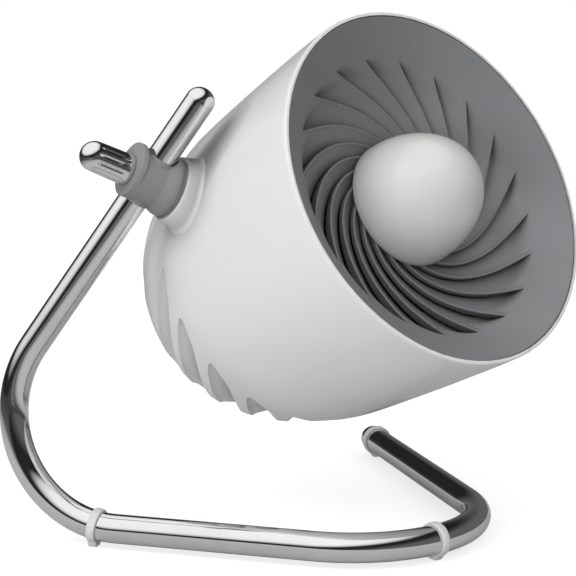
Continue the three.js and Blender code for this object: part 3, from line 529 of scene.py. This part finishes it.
# how far a slot reaches to each side of its front tip, in degrees, by depth
SLOT_LOW = [(80.5, 0.9), (81.3, 2.4), (82.5, 3.6), (86.5, 5.9), (92.4, 7.3), (100, 8.8), (118, 10)]
SLOT_HIGH = [(80.5, 0.7), (81.3, 2.3), (82.5, 3.9), (84.7, 5.6), (93, 5.7), (102, 4.9), (118, 4.5)]
SLOT_FALL = [(80.5, 0), (81, 1.6), (83, 3), (90, 4.4), (106, 4.4), (114, 3), (118, 0)]
UNDERCUT, SHELL_WALL = 1.6, 1.9
SLOT_COLS, RIB_COLS = 10, 4


def wall_radius(d):
    d0, r0 = zip(*WALL_LINE)
    return np.interp(d, d0, r0)


def smooth_radius(d):
    if 3 < d < 122:
        return float(np.mean([wall_radius(d + s) for s in (-1.6, -0.8, 0, 0.8, 1.6)]))
    return float(wall_radius(d))


def read_line(line, d):
    a, b = zip(*line)
    return float(np.interp(d, a, b))


def louvre_row(d):
    """One ring of the louvred shell: outer angle and radius, then inner angle and radius, for every column."""
    r = MOUTH_LIP.get(d, smooth_radius(d))
    inner = MOUTH_INSIDE_R if d <= MOUTH_INSIDE_DEPTH else r - SHELL_WALL
    low, high, deep = (read_line(line, d) for line in (SLOT_LOW, SLOT_HIGH, SLOT_FALL))
    twist = LOUVRE_SWEEP * (max(d, LOUVRE_FRONT - 3) - LOUVRE_FRONT)
    row = []
    for k in range(LOUVRES):
        fall = 0 if k == BLANK else deep
        tip = LOUVRE_PHASE + k * LOUVRE_PITCH + twist
        for t in np.linspace(0, 1, SLOT_COLS):
            a = rad(tip - low + t * (low + high))
            f = fall * float(t) ** 0.85 + min(0.35, fall) * float(step_between(t, 0, 0.12))
            row.append((a, r - f, a, inner - f))
        a, edge = rad(tip + high), max(0.0, fall - UNDERCUT)
        lip = SHELL_WALL * min(1.0, fall / 3) / r
        row.append((a, r - edge, a + lip, min(inner, r - edge)))
        for t in np.linspace(0, 1, RIB_COLS + 1)[:-1]:
            b = rad(tip + high + t * (LOUVRE_PITCH - low - high))
            row.append((b, r, max(b, a + lip), inner))
    return row


def build_housing():
    """Cup-shaped shell whose rear is cut into swept louvres, each falling away under the next one's rib."""
    depths = [0.0, 0.25, 0.8, 2, 5, 9, 9.6, 14, 20, 27, 34, 41, 48, 55, 61, 66, 70, 73, 75.5, 77.5, 79, 80]
    depths += [80.5, 80.8, 81.1, 81.6, 82.5, 83.6, 85, 87] + list(np.linspace(89, 112, 20))
    depths += [113.5, 115, 116.2, 117.2, 118, 119, 120.5, 122, 123.4, 124.6, 125.4, 125.8]
    per = SLOT_COLS + 1 + RIB_COLS
    cols = LOUVRES * per
    outer, inner = [], []
    for d in depths:
        for a, r, b, s in louvre_row(d):
            outer.append((r * math.cos(a), r * math.sin(a), -d))
            inner.append((s * math.cos(b), s * math.sin(b), -min(d, REAR_INSIDE)))
    n = len(outer)
    verts = outer + inner
    faces, used = [], set()
    for i in range(len(depths) - 1):
        middle = (depths[i] + depths[i + 1]) / 2
        for j in range(cols):
            k, c = divmod(j, per)
            if c == SLOT_COLS - 1 and k != BLANK and SLOT_OPEN_FROM < middle < SLOT_OPEN_TO:
                continue
            j2 = (j + 1) % cols
            q = (i * cols + j, (i + 1) * cols + j, (i + 1) * cols + j2, i * cols + j2)
            faces += [q, tuple(n + v for v in q[::-1])]
            used.update(zip(q, q[1:] + q[:1]))
    rear = (len(depths) - 1) * cols
    faces += [(b, a, n + a, n + b) for a, b in sorted(used) if (b, a) not in used and min(a, b) < rear]
    close_rear(verts, faces, louvre_row(depths[-1]), rear, n)
    make("housing_shell", verts, faces, HEAD, "head", ["housing"], "white_shell", shell_white, 38)


def close_rear(verts, faces, row, rear, n):
    """Fills the middle of the rear face, outside and inside."""
    cols = len(row)
    for shift, side, lift in ((0, 1, 0.0), (n, -1, SHELL_WALL)):
        start = len(verts)
        rings = [(20.5, 126.0), (17, 126.15), (9, 126.2), (0, 126.2)]
        for r, d in rings:
            verts += [(r * math.cos(a), r * math.sin(a), lift - d) for a, *_ in row]
        faces += [f[::side] for f in sheet(len(rings), cols, start=start)]
        last = shift + rear
        for j in range(cols):
            k = (j + 1) % cols
            faces.append((last + j, last + k, start + k, start + j)[::side])


def build_boss():
    """Round pivot boss with a small fillet where it meets the side of the shell."""
    sides, radius, reach = 96, 12.1, 2.2
    face = POST_TO_HEAD - BOSS_FACE
    profile = [(AXLE_R, face - 3), (AXLE_R, face), (10.5, face), (10.9, face - 0.15), (11.12, face - 0.45),
               (11.2, face - 0.9)]
    verts = [(r * math.cos(TAU * j / sides), r * math.sin(TAU * j / sides), h)
             for r, h in profile for j in range(sides)]
    steps = np.linspace(0, 1, 10)
    for t in steps:
        rho = radius + reach * t
        lift = reach * (1 - math.sqrt(max(0.0, 1 - (1 - t) ** 2)))
        for j in range(sides):
            a = TAU * j / sides
            shell = smooth_radius(PIVOT_DEPTH + rho * math.cos(a))
            base = math.sqrt(shell ** 2 - (rho * math.sin(a)) ** 2)
            verts.append((rho * math.cos(a), rho * math.sin(a), min(base + lift - 0.15 * t, face - 0.9)))
    place = HEAD @ Matrix(((0, 0, -1, 0), (0, 1, 0, 0), (-1, 0, 0, -PIVOT_DEPTH), (0, 0, 0, 1)))
    make("pivot_boss", verts, sheet(len(profile) + len(steps), sides), place,
         "head", [], "white_shell", shell_white, 50)


# ---- grille ----
# depth of the vane ridges and fall of the faces between them, by radius
DISH = [(19, 18.2), (25, 17.6), (30, 16.6), (35, 15.2), (40, 13.4), (44, 11.6), (48.7, 9), (52, 6.4), (55, 4.1),
        (57.5, 2.3), (59.4, 0.8), (60.0, 0.45)]
VANES, VANE_PHASE, VANE_SWEEP, SLOT_END, HUB_R = 20, rad(3.3), rad(65.5), 48.9, 20.6
VANE_FALL = [(19.4, 1.7), (28, 2.3), (36, 3), (43, 3.8), (48.9, 4.2)]
RIDGE, VANE_WALL, VANE_GAP, FLOOR_COLS = 1.6, 1.4, 0.9, 9


def swept(r):
    share = (r - HUB_R) / (48.7 - HUB_R)
    return VANE_PHASE + VANE_SWEEP * (1.48 * share - 0.48 * share * share)


def vane_row(r):
    """One ring of the grille: (angle, front height, back height) for every column."""
    top, deep = -read_line(DISH, r), read_line(VANE_FALL, r) if r < SLOT_END else 0.0
    end = float(step_between(SLOT_END - r, 0, 1.3))
    foot = max(0.0, deep * end - VANE_GAP)
    under = max(foot, 1.7) if r < 59 else 8.0 + top
    half, pitch = RIDGE / r / 2, TAU / VANES
    row = []
    for k in range(VANES):
        middle = swept(min(r, 51.5)) + k * pitch
        crown = 0.3 * end
        row += [(middle - half, top - crown, top - under), (middle - half * 0.5, top, top - under)]
        row += [(middle + half * 0.5, top, top - under), (middle + half, top - crown, top - under)]
        for t in np.linspace(0, 1, FLOOR_COLS):
            fade = float(step_between(SLOT_END - r, 0, 1.3 + 7 * (1 - t)))
            fall = (deep * float(t) ** 0.9 + 0.3) * fade
            back = top - fall - VANE_WALL if deep else top - under
            row.append((middle + half + t * (pitch - 2 * half), top - fall, back))
        row.append((middle - half + pitch, top - foot * 0.96 - crown, top - under))
    return row


def build_grille():
    """Dished grille of swept vanes: each has a narrow ridge and a face that falls under the next ridge."""
    radii = list(np.linspace(HUB_R - 1.2, 45, 26)) + [46, 46.8, 47.5, 48.1, 48.5, 48.8, 48.95]
    radii += [50, 52, 54, 56, 57.6, 58.8, 59.5, 59.95, 60.1]
    per = 4 + FLOOR_COLS + 1
    cols = VANES * per
    front, back = [], []
    for r in radii:
        for a, high, low in vane_row(r):
            front.append((r * math.cos(a), r * math.sin(a), high))
            back.append((r * math.cos(a), r * math.sin(a), low))
    n = len(front)
    verts = front + back
    faces, used = [], set()
    for i in range(len(radii) - 1):
        for j in range(cols):
            if j % per == per - 2 and radii[i + 1] < 47.9:
                continue
            j2 = (j + 1) % cols
            q = (i * cols + j, (i + 1) * cols + j, (i + 1) * cols + j2, i * cols + j2)
            faces += [q, tuple(n + v for v in q[::-1])]
            used.update(zip(q, q[1:] + q[:1]))
    faces += [(b, a, n + a, n + b) for a, b in sorted(used) if (b, a) not in used]
    hub = [(0, -24), (19.6, -24), (20.6, -23.2), (20.6, -17.9), (18.6, -17.9), (18.6, -15.6), (17.3, -15.6),
           (17.3, -22.2), (0, -22.2)]
    hub = soften(hub, 0.3, 3)
    hub_verts, hub_faces = lathe(hub, 96)
    start = len(verts)
    verts += hub_verts
    faces += [tuple(start + v for v in f) for f in hub_faces]
    make("grille_swept", verts, faces, HEAD, "head", ["grille"], "grille_grey", grille_grey, 34)


def build_nose():
    steps = 26
    out = [(21.9 * math.cos(a), 30.3 * math.sin(a) - 17.5) for a in np.linspace(0, math.pi / 2, steps)]
    out = [(21.6, -17.72), (21.82, -17.66)] + out
    inside = [(19.5 * math.cos(a), 28.3 * math.sin(a) - 17.5) for a in np.linspace(math.pi / 2, 0, steps)]
    inside += [(19.6, -17.72)]
    make("nose_cone_gloss", *lathe(out + inside + out[:1], 112), HEAD,
         "head", ["nose_cone"], "nose_pale", nose_pale, 45)


BLADES, BLADE_ROOT, BLADE_TIP, BLADE_DEPTH, BLADE_WALL = 5, 12.5, 51, 37.25, 1.6


def build_propeller():
    verts, faces = [], []
    nu, nv = 12, 16
    for blade in range(BLADES):
        grids = []
        for w in (0, 1):
            start = len(verts)
            grids.append(start)
            for i in range(nv + 1):
                for j in range(nu + 1):
                    u, v = j / nu, i / nv
                    radius = BLADE_ROOT + (BLADE_TIP - BLADE_ROOT) * v
                    chord = (0.72 + 0.23 * v) * (1 - 0.35 * v * v)
                    around = (u - 0.5) * chord * (22 + 12 * v)
                    pitch = rad(46 - 22 * v)
                    edge = 1 - (2 * u - 1) ** 6
                    lift = around * math.sin(pitch) * 0.62 + 2.2 * (1 - (2 * u - 1) ** 2)
                    lift += (w - 0.5) * BLADE_WALL * edge
                    angle = blade * TAU / BLADES + 0.25 * v + around * math.cos(pitch) / radius
                    verts.append((radius * math.cos(angle), radius * math.sin(angle), -BLADE_DEPTH + lift))
        for s, side in zip(grids, (-1, 1)):
            faces += [f[::side] for f in sheet(nv + 1, nu + 1, around=False, start=s)]
        a, b = grids
        w = nu + 1
        faces += [(a + j, b + j, b + j + 1, a + j + 1) for j in range(nu)]
        a, b = a + nv * w, b + nv * w
        faces += [(a + j, b + j, b + j + 1, a + j + 1) for j in range(nu)]
    hub = [(2.1, -40), (5, -40), (5, -30.7), (12.2, -30.7), (12.2, -44), (14, -44), (14, -30), (12, -28.5),
           (2.1, -28.5)]
    hub = soften(hub, 0.4, 3)
    hub_verts, hub_faces = lathe(hub + hub[:1], 72)
    start = len(verts)
    verts += hub_verts
    faces += [tuple(start + v for v in f) for f in hub_faces]
    make("propeller_grey", verts, faces, HEAD, "rotor", ["propeller"], "grey_plastic", fan_grey, 40)


def build_speed_knob():
    face, back = -126.4, -133.4
    sides = 120
    outline = [(0.0, back), (6.4, back), (7.2, back + 0.12), (7.8, back + 0.5), (8.1, back + 1.1),
               (8.3, back + 2.5), (8.6, back + 4.5), (8.8, face - 0.6), (8.9, face - 0.2), (8.6, face),
               (0, face)]
    verts = []
    for r, z in outline:
        grip = float(step_between(z, back + 0.5, back + 1.4) * (1 - step_between(z, face - 1.2, face - 0.6)))
        for j in range(sides):
            a = TAU * j / sides
            radius = r - 0.28 * grip * (0.5 + 0.5 * math.cos(30 * a)) * (r > 7)
            verts.append((radius * math.cos(a), radius * math.sin(a), z))
    make("speed_knob_dial", verts, sheet(len(outline), sides), HEAD,
         "speed_dial", ["speed_knob"], "grey_plastic", block_grey, 40)
    bar = [(-1.1, -7.2), (1.1, -7.2), (1.1, 7.2), (-1.1, 7.2)]
    verts = []
    for wide, tall, z in ((1.12, 1.02, back + 0.1), (1, 1, back - 1.2), (0.8, 0.97, back - 1.55)):
        verts += [(x * wide, y * tall, z) for x, y in bar]
    make("speed_knob_pointer", verts, sheet(3, 4, ends=True), HEAD,
         "speed_dial", [], "white_shell", shell_white, 60)


def build_gland():
    outer = -126.25
    profile = [(1.9, outer + 4), (1.9, outer - 3.2), (3.2, outer - 3.2), (3.5, outer - 2.0), (3.5, outer - 1.3),
               (4.1, outer - 0.9), (4.1, outer + 0.05), (2.9, outer + 0.05), (2.9, outer + 4), (1.9, outer + 4)]
    profile = soften(profile, 0.25, 4)
    make("cord_gland_rubber", *lathe(profile + profile[:1], 64), HEAD @ Matrix.Translation((0, -17, 0)),
         "head", ["cord_gland"], "black_plastic", dark_plastic, 40)


build_stand()
build_block()
build_bush()
build_friction_washer()
build_knob()
build_housing()
build_boss()
build_grille()
build_nose()
build_propeller()
build_speed_knob()
build_gland()

# looks of the solids that stay as they are; the others are steel if they are screws, and else dark plastic
kept = {
    "motor_bracket": steel, "motor_can": steel, "motor_end_bell": steel, "stator_core": steel,
    "rotor_core": steel, "motor_shaft": steel, "prop_clip": steel, "knob_screw": steel, "pivot_axle": steel,
    "spring_washer": steel, "axle_nut": steel, "pressure_pad": bronze, "bearing_front": bronze,
    "bearing_rear": bronze, "coil_front": copper, "coil_rear": copper,
}
for name, node in frame["nodes"].items():
    if not node.hide_render:
        node.data.materials.clear()
        node.data.materials.append(kept.get(name, steel if "screw" in name else dark_plastic))
        node.data.shade_smooth()
        node.data.set_sharp_from_angle(angle=rad(30))


# ---- floor, light, camera ----
# the camera sees the floor glow to full white, and reflections see its colour fall off to a darker room
FLOOR_HALF, FLOOR_NEAR, FLOOR_FAR = 3.0, 0.16, 0.5
FLOOR_COLOUR, FLOOR_GLOW = (0.55, 0.08), (0.66, 0.99)
# reflections see a softbox this way: the stops run from the far side of the sky (0) to its middle (1)
SOFTBOX_WAY = (-0.357, -0.249, 0.9)
SOFTBOX = [(0.0, 0.12), (0.3, 0.015), (0.48, 0.02), (0.6, 0.7), (0.72, 1.0), (1.0, 1.05)]
WORLD_WHITE, WORLD_DIFFUSE = (1, 1, 1, 1), 0.68
# place and size in metres, power in watts
LAMPS = [("key", (-0.35, -0.7, 0.85), 0.5, 3.1), ("fill", (0.7, -0.3, 0.5), 0.6, 0.6),
         ("low", (-0.1, -0.9, 0.08), 0.5, 4.2)]
LAMP_AIM = (0, 0, 0.1)
# the camera's place from the start of the base run, and its way, solved from the photo's tube outlines
CAMERA_OFFSET, CAMERA_WAY = (220.24, -527.35, 165.08), (-0.2879, 0.9464, -0.1464)
CAMERA_LENS, CAMERA_SENSOR = 110.25, 36


def world_light():
    world = bpy.data.worlds.new("studio")
    bpy.context.scene.world = world
    world.use_nodes = True
    tree = world.node_tree
    tree.nodes.clear()
    add = tree.nodes.new
    out, path, mix = add("ShaderNodeOutputWorld"), add("ShaderNodeLightPath"), add("ShaderNodeMixShader")
    show, light = add("ShaderNodeBackground"), add("ShaderNodeBackground")
    coords, towards, ramp = add("ShaderNodeTexCoord"), add("ShaderNodeVectorMath"), add("ShaderNodeValToRGB")
    towards.operation = "DOT_PRODUCT"
    towards.inputs[1].default_value = SOFTBOX_WAY
    tree.links.new(coords.outputs["Generated"], towards.inputs[0])
    tree.links.new(towards.outputs["Value"], ramp.inputs["Fac"])
    elements = ramp.color_ramp.elements
    while len(elements) < len(SOFTBOX):
        elements.new(0.5)
    for element, (position, value) in zip(elements, SOFTBOX):
        element.position, element.color = position, (value, value, value, 1)
    diffuse = add("ShaderNodeMixShader")
    flat = add("ShaderNodeBackground")
    flat.inputs["Color"].default_value, flat.inputs["Strength"].default_value = WORLD_WHITE, WORLD_DIFFUSE
    show.inputs["Color"].default_value, show.inputs["Strength"].default_value = WORLD_WHITE, 1.0
    tree.links.new(ramp.outputs["Color"], light.inputs["Color"])
    light.inputs["Strength"].default_value = 1.0
    tree.links.new(path.outputs["Is Glossy Ray"], diffuse.inputs[0])
    tree.links.new(flat.outputs[0], diffuse.inputs[1])
    tree.links.new(light.outputs[0], diffuse.inputs[2])
    tree.links.new(path.outputs["Is Camera Ray"], mix.inputs[0])
    tree.links.new(diffuse.outputs[0], mix.inputs[1])
    tree.links.new(show.outputs[0], mix.inputs[2])
    tree.links.new(mix.outputs[0], out.inputs["Surface"])


def area(name, at, to, size, power):
    lamp = bpy.data.lights.new(name, "AREA")
    lamp.shape, lamp.size, lamp.energy = "DISK", size, power
    obj = bpy.data.objects.new(name, lamp)
    obj.location = at
    obj.rotation_mode = "QUATERNION"
    obj.rotation_quaternion = (Vector(to) - Vector(at)).to_track_quat("-Z", "Y")
    obj.visible_glossy = False
    bpy.context.scene.collection.objects.link(obj)


def floor():
    mesh = bpy.data.meshes.new("floor")
    corners = [(FLOOR_HALF * x, FLOOR_HALF * y, 0) for x, y in ((-1, -1), (1, -1), (1, 1), (-1, 1))]
    mesh.from_pydata(corners, [], [(0, 1, 2, 3)])
    obj = bpy.data.objects.new("floor", mesh)
    bpy.context.scene.collection.objects.link(obj)
    look = Look("pale_floor", Roughness=0.9)
    look.shader.inputs["Specular IOR Level"].default_value = 0.0
    away = look.node("ShaderNodeVectorMath", operation="LENGTH")
    look.link(look.coords.outputs["Object"], away.inputs[0])

    def by_distance(near, far):
        m = look.node("ShaderNodeMapRange", interpolation_type="SMOOTHSTEP")
        m.inputs["From Min"].default_value, m.inputs["From Max"].default_value = FLOOR_NEAR, FLOOR_FAR
        m.inputs["To Min"].default_value, m.inputs["To Max"].default_value = near, far
        look.link(away.outputs["Value"], m.inputs["Value"])
        return m.outputs["Result"]

    look.link(by_distance(*FLOOR_COLOUR), look.shader.inputs["Base Color"])
    path = look.node("ShaderNodeLightPath")
    shown = look.node("ShaderNodeMath", operation="MULTIPLY")
    look.link(path.outputs["Is Camera Ray"], shown.inputs[0])
    look.link(by_distance(*FLOOR_GLOW), shown.inputs[1])
    glow = look.node("ShaderNodeEmission")
    look.link(shown.outputs[0], glow.inputs["Strength"])
    total = look.node("ShaderNodeAddShader")
    look.link(look.shader.outputs[0], total.inputs[0])
    look.link(glow.outputs[0], total.inputs[1])
    look.link(total.outputs[0], look.tree.nodes["Material Output"].inputs["Surface"])
    mesh.materials.append(look.mat)


start = stand_path()[0]
camera = bpy.data.cameras.new("camera")
camera.lens, camera.sensor_width = CAMERA_LENS, CAMERA_SENSOR
view = bpy.data.objects.new("camera", camera)
bpy.context.scene.collection.objects.link(view)
view.location = (Vector(start) + Vector(CAMERA_OFFSET)) * MM
view.rotation_mode = "QUATERNION"
view.rotation_quaternion = Vector(CAMERA_WAY).to_track_quat("-Z", "Y")
camera.clip_start, camera.clip_end = 0.01, 20
bpy.context.scene.camera = view
world_light()
floor()
for name, at, size, power in LAMPS:
    area(name, at, LAMP_AIM, size, power)
bpy.context.scene.view_settings.view_transform = "Standard"
